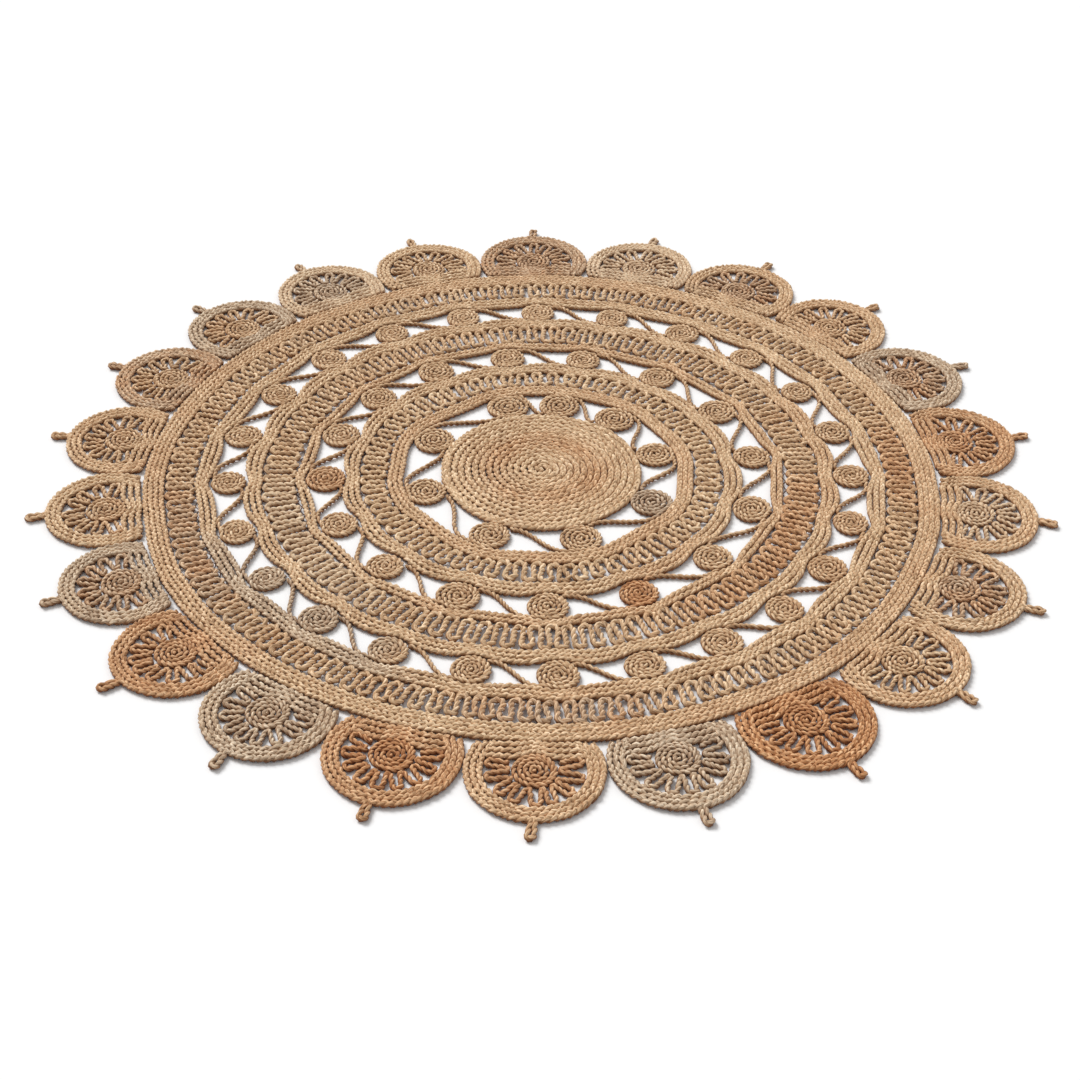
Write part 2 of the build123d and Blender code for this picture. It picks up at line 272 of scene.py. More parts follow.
# patches of unevenness in a metre
LAY_PATCHES = 26.0
LOOSE_PATCHES = 95.0
WOBBLE_PATCHES = 24.0
PLUMP_PATCHES = 90.0
DRIFT_PATCHES = 5.5


class NodeKit:
    """Makes nodes in one tree and joins them."""

    def __init__(self, tree: bpy.types.NodeTree) -> None:
        """Work in a tree."""
        self.tree = tree

    def node(self, kind: str, **settings: object) -> bpy.types.Node:
        """A new node with some of its settings made."""
        made = self.tree.nodes.new(kind)
        for name, value in settings.items():
            setattr(made, name, value)
        return made

    def feed(self, sockets: Sequence[Socket], terms: Sequence[object]) -> None:
        """Give each input its term, which is another node's socket or a fixed value."""
        for socket, term in zip(sockets, terms):
            if isinstance(term, Socket):
                self.tree.links.new(term, socket)
            else:
                socket.default_value = term

    def result(self, kind: str, *terms: object, **settings: object) -> Socket:
        """The first output of a new node that is fed these terms in order."""
        made = self.node(kind, **settings)
        self.feed(made.inputs, terms)
        return made.outputs[0]

    def math(self, operation: str, *terms: object) -> Socket:
        """Arithmetic on sockets or numbers."""
        return self.result("ShaderNodeMath", *terms, operation=operation)

    def vector(self, operation: str, *terms: object) -> Socket:
        """Vector arithmetic on sockets or fixed vectors."""
        return self.result("ShaderNodeVectorMath", *terms, operation=operation)

    def blend(self, one: Socket, share: float, other: Socket, other_share: float) -> Socket:
        """Two numbers added, each times its share."""
        return self.math("ADD", self.math("MULTIPLY", one, share), self.math("MULTIPLY", other, other_share))

    def parts(self, vector: Socket) -> Sequence[Socket]:
        """The x, y and z of a vector."""
        made = self.node("ShaderNodeSeparateXYZ")
        self.feed(made.inputs, (vector,))
        return made.outputs

    def texture(self, vector: Socket, scale: float, detail: float, shift: object = None) -> bpy.types.Node:
        """Noise on a vector, moved along a fourth axis where a shift is given."""
        made = self.node("ShaderNodeTexNoise", noise_dimensions="3D" if shift is None else "4D")
        names = ["Vector", "Scale", "Detail"] + ([] if shift is None else ["W"])
        self.feed([made.inputs[name] for name in names], (vector, scale, detail, shift))
        return made


class StrandTree(NodeKit):
    """The Geometry Nodes tree that lays strands along every route of a piece."""

    INPUTS = {
        "Strands": "Int", "Strand Radius": "Float", "Spread": "Float", "Lift": "Float",
        "Pitch": "Float", "Crossings": "Int", "Sides": "Int", "Step": "Float", "Looseness": "Float",
        "Hand Drift": "Float", "Seed": "Int", "Fibre": "Material",
    }

    def __init__(self) -> None:
        """Build the tree once; every piece sets its own inputs."""
        super().__init__(bpy.data.node_groups.new("laid_strands", "GeometryNodeTree"))
        face = self.tree.interface
        face.new_socket("Geometry", in_out="INPUT", socket_type="NodeSocketGeometry")
        for name, kind in self.INPUTS.items():
            face.new_socket(name, in_out="INPUT", socket_type="NodeSocket" + kind)
        face.new_socket("Geometry", in_out="OUTPUT", socket_type="NodeSocketGeometry")
        size = self.node("NodeGroupInput").outputs
        laid, thickness, keep, strand = self._strands(size)
        self._finish(size, *self._tubes(size, laid, thickness), keep, strand)

    def step(self, kind: str, geometry: Socket, inputs: dict[str, object] | None = None,
             **settings: object) -> bpy.types.Node:
        """A node that works on geometry, with some of its other inputs fed by name."""
        made = self.node(kind, **settings)
        self.feed(made.inputs, (geometry,))
        for name, term in (inputs or {}).items():
            self.feed((made.inputs[name],), (term,))
        return made

    def captured(self, geometry: Socket, **values: Socket) -> bpy.types.Node:
        """Geometry that carries numbers on its points."""
        made = self.step("GeometryNodeCaptureAttribute", geometry, domain="POINT")
        for name, term in values.items():
            made.capture_items.new("FLOAT", name)
            self.feed((made.inputs[name],), (term,))
        return made

    def scaled(self, vector: Socket, by: Socket) -> Socket:
        """A vector times a number."""
        made = self.node("ShaderNodeVectorMath", operation="SCALE")
        self.feed((made.inputs[0], made.inputs["Scale"]), (vector, by))
        return made.outputs[0]

    def straying(self, here: Socket, scale: float, shift: object) -> Socket:
        """Vector noise from -0.5 to 0.5 on each axis."""
        colour = self.texture(here, scale, 1.0, shift).outputs["Color"]
        return self.vector("SUBTRACT", colour, (0.5, 0.5, 0.5))

    def _strands(self, size: Sequence[Socket]) -> tuple[Socket, Socket, bpy.types.Node, Socket]:
        """Lay the strands' centrelines beside each route."""
        lines = self.step("GeometryNodeMeshToCurve", size["Geometry"])
        even = self.step("GeometryNodeResampleCurve", lines.outputs[0], {"Length": size["Step"]}, mode="LENGTH")

        # angle of the lay along each route, a whole number of pitches so that closed routes join up
        length = self.node("GeometryNodeSplineLength").outputs["Length"]
        along = self.node("GeometryNodeSplineParameter").outputs
        cycles = self.math("MAXIMUM", self.math("ROUND", self.math("DIVIDE", length, size["Pitch"])), 1)
        angle = self.math("MULTIPLY", self.math("MULTIPLY", cycles, along["Factor"]), TAU)
        keep = self.captured(even.outputs[0], lay_angle=angle, run=along["Length"])

        copies = self.step("GeometryNodeDuplicateElements", keep.outputs[0], {"Amount": size["Strands"]},
                           domain="SPLINE")
        strand = copies.outputs["Duplicate Index"]
        phase = self.math("MULTIPLY", self.math("DIVIDE", strand, size["Strands"]), TAU)
        here = self.node("GeometryNodeInputPosition").outputs[0]
        uneven = self.parts(self.straying(here, LAY_PATCHES, size["Seed"]))[0]
        turn = self.math("ADD", keep.outputs["lay_angle"], phase)
        turn = self.math("ADD", turn, self.math("MULTIPLY", uneven, LAY_WANDER))
        side = self.math("MULTIPLY", self.math("SINE", turn), size["Spread"])
        quarter = self.math("MULTIPLY", self.math("SUBTRACT", 2.0, size["Crossings"]), math.pi / 2)
        rise_angle = self.math("ADD", self.math("MULTIPLY", turn, size["Crossings"]), quarter)
        rise = self.math("MULTIPLY", self.math("SINE", rise_angle), size["Lift"])

        heading = self.node("GeometryNodeInputTangent").outputs[0]
        across = self.vector("NORMALIZE", self.vector("CROSS_PRODUCT", heading, (0.0, 0.0, 1.0)))
        upward = self.result("ShaderNodeCombineXYZ", 0.0, 0.0, rise)
        swing = self.vector("ADD", self.scaled(across, side), upward)
        seed = self.math("ADD", size["Seed"], self.math("MULTIPLY", strand, 3.7))
        loose = self.scaled(self.straying(here, LOOSE_PATCHES, seed), size["Looseness"])
        wobble = self.vector("MULTIPLY", self.straying(here, WOBBLE_PATCHES, 9.0), WOBBLE)
        offset = self.vector("ADD", self.vector("ADD", swing, loose), wobble)
        laid = self.step("GeometryNodeSetPosition", copies.outputs["Geometry"], {"Offset": offset})
        plump = self.texture(here, PLUMP_PATCHES, 2.0, seed).outputs[0]
        thickness = self.math("ADD", self.math("MULTIPLY", plump, 0.5), 0.75)
        return laid.outputs[0], thickness, keep, strand

    def _tubes(self, size: Sequence[Socket], laid: Socket, thickness: Socket) -> tuple[Socket, Socket]:
        """Give the centrelines their body. The second socket is the angle round each strand."""
        upright = self.step("GeometryNodeSetCurveNormal", laid, mode="Z_UP")
        sized = self.step("GeometryNodeSetCurveRadius", upright.outputs[0], {"Radius": thickness})
        ring = self.node("GeometryNodeCurvePrimitiveCircle", mode="RADIUS")
        self.feed([ring.inputs[name] for name in ("Resolution", "Radius")], (size["Sides"], size["Strand Radius"]))
        factor = self.node("GeometryNodeSplineParameter").outputs["Factor"]
        wrap = self.captured(ring.outputs[0], round=self.math("MULTIPLY", factor, TAU))
        tubes = self.step("GeometryNodeCurveToMesh", sized.outputs[0],
                          {"Profile Curve": wrap.outputs[0], "Fill Caps": True})
        if "Scale" in tubes.inputs:
            self.feed((tubes.inputs["Scale"],), (thickness,))
        return tubes.outputs[0], wrap.outputs["round"]

    def _finish(self, size: Sequence[Socket], tubes: Socket, rounding: Socket, keep: bpy.types.Node,
                strand: Socket) -> None:
        """Store the fibre's coordinates, let the plan drift, rest it on the floor and dress it."""
        # coordinates that follow the fibre: round the strand in x and y, along it in z
        past = self.math("ADD", keep.outputs["run"], self.math("MULTIPLY", strand, 5.3))
        cosine, sine = self.math("COSINE", rounding), self.math("SINE", rounding)
        value = self.result("ShaderNodeCombineXYZ", cosine, sine, past)
        fibre = self.step("GeometryNodeStoreNamedAttribute", tubes, {"Name": "fibre"},
                          data_type="FLOAT_VECTOR", domain="POINT")
        self.feed((fibre.inputs["Value"],), (value,))

        here = self.node("GeometryNodeInputPosition").outputs[0]
        level = self.vector("MULTIPLY", self.straying(here, DRIFT_PATCHES, 3.0), (1.0, 1.0, 0.0))
        offset = self.scaled(level, size["Hand Drift"])
        drift = self.step("GeometryNodeSetPosition", fibre.outputs[0], {"Offset": offset})
        x, y, z = self.parts(self.node("GeometryNodeInputPosition").outputs[0])
        above = self.result("ShaderNodeCombineXYZ", x, y, self.math("MAXIMUM", z, 0.0))
        rest = self.step("GeometryNodeSetPosition", drift.outputs[0], {"Position": above})
        smooth = self.step("GeometryNodeSetShadeSmooth", rest.outputs[0])
        real = self.step("GeometryNodeRealizeInstances", smooth.outputs[0])
        dressed = self.step("GeometryNodeSetMaterial", real.outputs[0], {"Material": size["Fibre"]})
        self.step("NodeGroupOutput", dressed.outputs[0])

    def lay(self, name: str, routes: Sequence[Route], lay: Lay, fibre: bpy.types.Material,
            looseness: float = 1.6 * MM, seed: int = 1) -> bpy.types.Object:
        """Lay strands along routes and return them as one plain mesh object.

        Args:
            name: the piece's name.
            routes: the lines that its cords follow.
            lay: how the strands are laid up.
            fibre: the material.
            looseness: how far a strand may stray from its place.
            seed: number that the straying starts from.

        Returns:
            The finished piece, at the origin.
        """
        mesh = bpy.data.meshes.new(name + "_routes")
        points = np.vstack([r.points for r in routes])
        edges, first = [], 0
        for r in routes:
            count = len(r.points)
            index = np.arange(first, first + count)
            pairs = np.column_stack([index[:-1], index[1:]])
            edges.append(np.vstack([pairs, [[index[-1], index[0]]]]) if r.closed else pairs)
            first += count
        edges = np.vstack(edges)
        mesh.vertices.add(len(points))
        mesh.vertices.foreach_set("co", points.astype(np.float32).ravel())
        mesh.edges.add(len(edges))
        mesh.edges.foreach_set("vertices", edges.astype(np.int32).ravel())
        shares = mesh.attributes.new("shares", "FLOAT_VECTOR", "POINT")
        shares.data.foreach_set("vector", np.vstack([r.shares for r in routes]).astype(np.float32).ravel())
        mesh.update()
        holder = bpy.data.objects.new(name + "_routes", mesh)
        bpy.context.scene.collection.objects.link(holder)
        modifier = holder.modifiers.new("strands", "NODES")
        modifier.node_group = self.tree
        values = {
            "Strands": lay.strands,
            "Strand Radius": lay.strand_radius,
            "Spread": lay.spread,
            "Lift": lay.lift,
            "Pitch": lay.pitch,
            "Crossings": lay.crossings,
            "Sides": lay.sides,
            "Step": lay.pitch / lay.steps,
            "Looseness": looseness,
            "Hand Drift": HAND_DRIFT,
            "Seed": seed,
            "Fibre": fibre,
        }
        for item in self.tree.interface.items_tree:
            if item.in_out == "INPUT" and item.name in values:
                modifier[item.identifier] = values[item.name]
        depsgraph = bpy.context.evaluated_depsgraph_get()
        made = bpy.data.meshes.new_from_object(holder.evaluated_get(depsgraph), depsgraph=depsgraph)
        made.name = name
        piece = bpy.data.objects.new(name, made)
        bpy.context.scene.collection.objects.link(piece)
        holder.modifiers.remove(modifier)
        bpy.data.objects.remove(holder)
        bpy.data.meshes.remove(mesh)
        return piece


# ---- finishes -------------------------------------------------------------------------------
@dataclass(frozen=True)
class FibreTones:
    """Dark, middle and light colours of one kind of fibre, linear; the dark colour is partly painted shade in the
    fibre's grooves.
    """

    dark: tuple[float, float, float]
    middle: tuple[float, float, float]
    light: tuple[float, float, float]


STRAW_FIBRE = FibreTones((0.19, 0.085, 0.028), (0.56, 0.350, 0.180), (0.98, 0.72, 0.47))
RUST_FIBRE = FibreTones((0.15, 0.050, 0.015), (0.48, 0.210, 0.080), (0.84, 0.50, 0.26))
GREY_FIBRE = FibreTones((0.15, 0.080, 0.040), (0.45, 0.315, 0.205), (0.86, 0.69, 0.51))


@dataclass(frozen=True)
class JuteFinish:
    """Coarse jute: streaks along the fibre, blotches of dye, painted shade low in the rug, no gloss and a soft
    sheen.
    """

    name: str
    streak_round: float = 1.5  # streaks across half a strand
    streak_along: float = 70.0  # streaks in a metre of strand
    relief: float = 0.6 * MM  # depth of the fibre's grooves
    brightness: float = 1.0
    # deep, top and deep_shade set painted shade: the colour darkens with height towards the floor, standing in for
    # the shade inside the rug
    deep: float = 3.0 * MM  # height below which fibre is in the rug's shade
    top: float = 9.2 * MM  # height above which it is in full light
    deep_shade: float = 0.24
    blotches: float = 16.0  # patches of dye in a metre
    speckles: float = 120.0  # specks in a metre

    def make(self) -> bpy.types.Material:
        """Build the material.

        Returns:
            A node material that reads the piece's fibre coordinates and tone shares.
        """
        made = bpy.data.materials.new(self.name)
        made.use_nodes = True
        kit = NodeKit(made.node_tree)
        shader = made.node_tree.nodes["Principled BSDF"]
        place = kit.node("ShaderNodeTexCoord").outputs["Object"]
        fibre, shares = (
            kit.node("ShaderNodeAttribute", attribute_name=name).outputs["Vector"] for name in ("fibre", "shares")
        )
        rust_share, grey_share, pale_share = kit.parts(shares)
        streak = self._streaks(kit, fibre, place)
        blotch = kit.texture(place, self.blotches, 3.0).outputs[0]
        speckle = kit.texture(place, self.speckles, 2.0).outputs[0]
        strand = kit.texture(kit.vector("MULTIPLY", fibre, (0.25, 0.25, 14.0)), 1.0, 2.0).outputs[0]

        uneven = kit.blend(blotch, 0.8, strand, 1.1)
        rust = self._dyed(kit, rust_share, uneven)
        grey = self._dyed(kit, grey_share, kit.math("SUBTRACT", 1.9, uneven))
        # fibre streaks: partly the fibre's own tone, partly painted shade where the bump has its grooves
        straw, rusty, greyed = (self._ramp(kit, streak, tones) for tones in (STRAW_FIBRE, RUST_FIBRE, GREY_FIBRE))
        colour = self._mix(kit, grey, self._mix(kit, rust, straw, rusty), greyed)
        colour = self._mix(kit, kit.math("MULTIPLY", pale_share, 0.35), colour, (0.80, 0.63, 0.45, 1.0))
        varied = kit.blend(strand, 0.9, speckle, 0.3)
        # painted shade: fibre darker the lower it lies, standing in for the shade among the cords
        painted_shade = self._smooth(kit, kit.parts(place)[2], self.deep, self.top, self.deep_shade)
        shade = kit.math("MULTIPLY", painted_shade, kit.math("ADD", varied, 0.45 * self.brightness))
        # darker fibre is redder, and so is the painted shade
        reds = [kit.math("POWER", shade, power) for power in (0.85, 1.25, 1.6)]
        warm = kit.result("ShaderNodeCombineColor", *reds)
        kit.feed((shader.inputs["Base Color"],), (self._mix(kit, 1.0, colour, warm, "MULTIPLY"),))

        bump = kit.node("ShaderNodeBump")
        kit.feed([bump.inputs[name] for name in ("Distance", "Strength", "Height")], (self.relief, 1.0, streak))
        kit.feed((shader.inputs["Normal"],), (bump.outputs[0],))
        for name, value in (("Roughness", 0.85), ("Specular IOR Level", 0.25), ("Sheen Weight", 0.12),
                            ("Sheen Roughness", 0.5)):
            shader.inputs[name].default_value = value
        return made

    def _streaks(self, kit: NodeKit, fibre: Socket, place: Socket) -> Socket:
        """Coarse and fine streaks. Each cord's start elsewhere, because its place shifts the pattern."""
        shift = kit.vector("MULTIPLY", place, (9.0, 9.0, 9.0))
        layers = []
        for finer_round, finer_along, detail in ((1.0, 1.0, 3.0), (3.2, 4.0, 2.0)):
            across, along = self.streak_round * finer_round, self.streak_along * finer_along
            spot = kit.vector("ADD", kit.vector("MULTIPLY", fibre, (across, across, along)), shift)
            layers.append(kit.texture(spot, 1.0, detail).outputs[0])
        return kit.blend(layers[0], 0.6, layers[1], 0.4)

    @staticmethod
    def _smooth(kit: NodeKit, value: Socket, low: float, high: float, floor: float = 0.0) -> Socket:
        """A soft step that rises from a floor to 1 between two values."""
        made = kit.node("ShaderNodeMapRange", interpolation_type="SMOOTHSTEP")
        names = ("Value", "From Min", "From Max", "To Min")
        kit.feed([made.inputs[name] for name in names], (value, low, high, floor))
        return made.outputs[0]

    def _dyed(self, kit: NodeKit, share: Socket, uneven: Socket) -> Socket:
        """A share of dye that took unevenly, from 0 to 1."""
        return self._smooth(kit, kit.math("ADD", share, kit.math("MULTIPLY", uneven, 0.75)), 0.80, 1.65)

    @staticmethod
    def _ramp(kit: NodeKit, value: Socket, tones: FibreTones) -> Socket:
        """The colour of one kind of fibre, from its grooves to its crests: its own streaky tone, with painted
        shade in the grooves.
        """
        made = kit.node("ShaderNodeValToRGB")
        made.color_ramp.interpolation = "EASE"
        first, last = made.color_ramp.elements
        first.position, first.color = 0.34, (*tones.dark, 1)
        last.position, last.color = 0.62, (*tones.light, 1)
        made.color_ramp.elements.new(0.46).color = (*tones.middle, 1)
        kit.feed(made.inputs, (value,))
        return made.outputs[0]

    @staticmethod
    def _mix(kit: NodeKit, share: object, one: Socket, other: object, blend: str = "MIX") -> Socket:
        """Two colours mixed by a share."""
        made = kit.node("ShaderNodeMix", data_type="RGBA", blend_type=blend)
        kit.feed([made.inputs[name] for name in ("Factor", "A", "B")], (share, one, other))
        return made.outputs["Result"]


# ---- the maker: lays a piece, dresses it and hands it to the frame ----------------------------
class Slot(Enum):
    """The record's material slots."""

    BRAIDED = "braided_jute"
    COILED = "coiled_jute"
    TWISTED = "twisted_jute"
    TWINE = "sewing_twine"


class RugMaker:
    """Lays pieces with the strand tree and puts them in the frame."""

    def __init__(self) -> None:
        """Build the tree and one material for each slot."""
        self.tree = StrandTree()
        self.fibres = {
            Slot.BRAIDED: JuteFinish("braided_jute").make(),
            Slot.COILED: JuteFinish("coiled_jute", streak_round=1.3).make(),
            Slot.TWISTED: JuteFinish("twisted_jute", streak_along=90.0).make(),
            Slot.TWINE: JuteFinish("sewing_twine", relief=0.1 * MM, brightness=1.2).make(),
        }

    def add(self, node: str, routes: Sequence[Route], lay: Lay, slot: Slot, seed: int = 1,
            looseness: float = 1.6 * MM) -> bpy.types.Object:
        """Lay a piece that stands for a CAD node.

        Args:
            node: the CAD node.
            routes: the lines that its cords follow.
            lay: how its strands are laid up.
            slot: the record's material slot.
            seed: number that its unevenness starts from.
            looseness: how far a strand may stray.

        Returns:
            The piece.
        """
        piece = self.tree.lay(f"{node}_strands", routes, lay, self.fibres[slot], looseness, seed)
        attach(piece, "root")
        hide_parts(node)
        log.info("%s: %d faces", piece.name, len(piece.data.polygons))
        return piece


# ---- medallion ------------------------------------------------------------------------------
LAST_TURN = 0.75  # share of a turn over which a coil's end runs at its outer edge


def spiral(radius: float, turns: float, cord: float, start: float = 0.0, step: float = 3 * MM) -> np.ndarray:
    """A flat coil, wound clockwise and outwards, that ends on the +Y side.

    Args:
        radius: outer radius of the coil.
        turns: number of turns.
        cord: width of the cord.
        start: radius at which the cord starts.
        step: spacing of the points.

    Returns:
        The points.
    """
    outer = radius - cord / 2
    length = math.pi * turns * (outer + start)
    share = np.sqrt(np.linspace(0, 1, int(length / step)))
    angle = (share - 1) * turns * TAU
    reach = np.minimum(start + (outer - start) * share * turns / (turns - LAST_TURN), outer)
    return np.column_stack([reach * np.sin(angle), reach * np.cos(angle)])


@dataclass
class Medallion:
    """The braid wound flat in the middle of the rug."""

    node: str = "medallion_coil"
    turns: float = 14.6
    tones: ToneRing = ToneRing(Tone.STRAW)
    dyed_at: float = 0.5  # where the more rust-coloured turns are, as a share of the radius
    dyed_width: float = 0.2
    dyed_shares: tuple[float, float, float] = (0.42, 0.10, -0.2)

    def build(self, maker: RugMaker) -> None:
        """Lay the coil."""
        radius = half_width(self.node)
        flat = spiral(radius, self.turns, radius / self.turns, start=3 * MM)
        away = np.hypot(*flat.T) / radius
        laid = route(flat, COIL_BRAID.middle, self.tones)
        dyed = np.exp(-(((away - self.dyed_at) / self.dyed_width) ** 2))[:, None]
        laid.shares = laid.shares + dyed * np.array(self.dyed_shares)
        maker.add(self.node, [laid], COIL_BRAID, Slot.COILED, seed=11, looseness=2.0 * MM)


# ---- the rounded polygon that the innermost band follows --------------------------------------
@dataclass
class PolygonBand:
    """The innermost band's edge: straight between the inner rosettes, round outside each."""

    reach: float  # radius of the inner edge outside a rosette
    bearings: tuple[int, ...] = INNER_BEARINGS
    rounding: float = CORNER_ROUND

    def edge(self, grown: float) -> Edge:
        """The edge grown outwards by a distance, as a radius at any bearing."""
        nose = self.reach + grown
        count = len(self.bearings)
        spans = [(self.bearings[(k + 1) % count] - self.bearings[k]) % 360 for k in range(count)]
        corners = [
            nose + (self.rounding + grown) * (1 / math.cos(math.radians((spans[k - 1] + spans[k]) / 4)) - 1)
            for k in range(count)
        ]

        def straight(bearing: Bearing) -> float:
            k = max(range(count), key=lambda j: -((bearing - self.bearings[j]) % 360))
            part, span = math.radians((bearing - self.bearings[k]) % 360), math.radians(spans[k])
            one, two = corners[k], corners[(k + 1) % count]
            return min(nose, one * two * math.sin(span) / (one * math.sin(part) + two * math.sin(span - part)))

        table = np.array([straight(b) for b in range(360)])
        window = np.hanning(15)
        table = np.convolve(np.tile(table, 3), window / window.sum(), "same")[360:720]
        return lambda bearing: float(np.interp(bearing % 360, np.arange(361), np.append(table, table[0])))


def constant(radius: float) -> Edge:
    """An edge at the same radius all round."""
    return lambda bearing: radius


def growing(radius: float) -> Callable[[float], Edge]:
    """A round edge that can be grown outwards by a distance."""
    return lambda grown: constant(radius + grown)


# ---- braided bands --------------------------------------------------------------------------
@dataclass(frozen=True)
class Ripple:
    """How a band gives way to each rosette beside it, and closes in between them."""

    bearings: Sequence[Bearing]
    side: int  # +1 where the rosettes are outside the band, -1 where they are inside
    depth: float = 4.6 * MM
    spread: float = 27 * MM

    def shift(self, bearing: Bearing, radius: float) -> float:
        """How far outwards the band's nearest row moves."""
        away = min(abs((bearing - b + 180) % 360 - 180) for b in self.bearings)
        bump = math.exp(-((math.radians(away) * radius / self.spread) ** 2))
        return self.side * self.depth * (1 - 2 * bump)


@dataclass
class BraidedBand:
    """Rows of braid sewn side by side, all the way round the rug."""

    node: str
    edge: Callable[[float], Edge]  # the inner edge, grown by a distance
    rows: int
    tones: ToneRing
    seed: int = 1
    ripple: Ripple | None = None
    kept: float = 0.6  # share of a row's push that reaches the next row

    def build(self, maker: RugMaker) -> None:
        """Lay the rows."""
        laid = []
        for row in range(self.rows):
            radius_at = self.edge((row + 0.5) * BRAID_PITCH)
            turn = (self.seed * 37 + row * 101) % 360
            bearings = np.arange(turn, turn + 360, 0.75)
            flat = np.array([at(radius_at(b) + self._give(row, b, radius_at(b)), b) for b in bearings])
            laid.append(route(flat, BRAID.middle, self.tones, closed=True))
        maker.add(self.node, laid, BRAID, Slot.BRAIDED, seed=self.seed)

    def _give(self, row: int, bearing: Bearing, radius: float) -> float:
        """How far a row is pushed by the rosettes: most beside them, and less in each row after."""
        if self.ripple is None:
            return 0.0
        rank = self.rows - 1 - row if self.ripple.side > 0 else row
        return self.ripple.shift(bearing, radius) * self.kept**rank


# ---- looped rings ---------------------------------------------------------------------------
@dataclass
class LoopedRing:
    """A twisted cord that runs out and back between two bands in teardrop loops."""

    node: str
    near: Edge
    far: Edge
    waves: int
    tones: ToneRing
    seed: int = 1
    cord: float = 7.4 * MM
    fullness: float = 0.315  # radius of a loop's end over the spacing of the loops

    def build(self, maker: RugMaker) -> None:
        """Lay the cord."""
        chance = np.random.default_rng(self.seed)
        pegs = []
        step = 180 / self.waves
        for k in range(2 * self.waves):
            bearing = 90 - (k + 0.5) * step + chance.normal(0, 0.09) * step
            outer = k % 2 == 0
            spacing = math.radians(2 * step) * (self.near(bearing) + self.far(bearing)) / 2
            loop = spacing * self.fullness * chance.uniform(0.85, 1.1)
            inset = CORD_GAP + self.cord / 2 + loop + chance.uniform(-0.8, 1.6) * MM
            reach = self.far(bearing) - inset if outer else self.near(bearing) + inset
            pegs.append(Peg(at(reach, bearing), loop, 1 if outer else -1))
        flat = weave(pegs + pegs[:2], 2 * MM)[:-2]
        laid = route(flat, LOOP_TWIST.middle, self.tones, closed=True)
        wave = np.cumsum(chance.normal(0, 0.25 * MM, len(flat)))
        laid.points[:, 2] += np.abs(np.convolve(wave - wave.mean(), np.ones(9) / 9, "same")).clip(0, 1.5 * MM)
        maker.add(self.node, [laid], LOOP_TWIST, Slot.TWISTED, seed=self.seed)


# ---- rosettes and the cords that link them ----------------------------------------------------
@dataclass
class RosetteRing:
    """A ring of coiled rosettes between two edges, each linked to the next by a twisted cord."""

    name: str
    near: Edge
    far: Edge
    size: float  # radius of a rosette
    middle: float  # radius of the ring that the rosettes' middles lie on
    bearings: Sequence[Bearing]
    tones: ToneRing
    turns: float = 4.3
    cord: float = 6.0 * MM
    swell: float = 3.8 * MM  # how far a rosette presses into the rows beside it
    seed: int = 1

    def build(self, maker: RugMaker) -> None:
        """Lay the rosettes and their links."""
        chance = np.random.default_rng(self.seed)
        coils, links = [], []
        for k, bearing in enumerate(self.bearings):
            after = self.bearings[(k + 1) % len(self.bearings)]
            after += 360 if after < bearing else 0
            coils.append(self._coil(bearing, chance))
            links.append(self._link(bearing, after))
        maker.add(f"{self.name}_rosettes", coils, ROSETTE_TWIST, Slot.COILED, self.seed, 0.7 * MM)
        maker.add(f"{self.name}_link_cords", links, LINK_TWIST, Slot.TWISTED, self.seed)

    def _coil(self, bearing: Bearing, chance: np.random.Generator) -> Route:
        """One rosette, a little out of round."""
        size = self.size + self.swell * chance.uniform(0.4, 1.2)
        flat = spiral(size, self.turns, size / self.turns, start=1.5 * MM, step=1.6 * MM)
        flat = flat * [chance.uniform(0.97, 1.04), chance.uniform(0.97, 1.02)]
        return route(turned(flat + [0, self.middle], bearing), ROSETTE_TWIST.middle, self.tones)

    def _link(self, before: Bearing, after: Bearing) -> Route:
        """A cord from a rosette's outer side to the next one's inner side."""
        inset = self.cord / 2 + 2 * CORD_GAP
        beside = math.sqrt((self.size + inset) ** 2 - (self.size - self.cord / 2) ** 2) + CORD_GAP
        start = before + math.degrees(beside / self.far(before))
        end = after - math.degrees(beside / self.near(after))
        run = (end - start) / 4
        corners = np.array([
            at(self.middle + self.size - self.cord * 0.6, before + math.degrees(4 * MM / self.middle)),
            at(self.far(start) - inset, start),
            at(self.far(start + run) - inset, start + run),
            at(self.near(end - run) + inset, end - run),
            at(self.near(end) + inset, end),
        ])
        return route(rounded(corners), LINK_TWIST.middle, self.tones)


def turned(flat: np.ndarray, bearing: Bearing) -> np.ndarray:
    """Points made along +Y, turned clockwise to a bearing."""
    cosine, sine = math.cos(math.radians(bearing)), math.sin(math.radians(bearing))
    return np.column_stack([flat[:, 0] * cosine + flat[:, 1] * sine, flat[:, 1] * cosine - flat[:, 0] * sine])


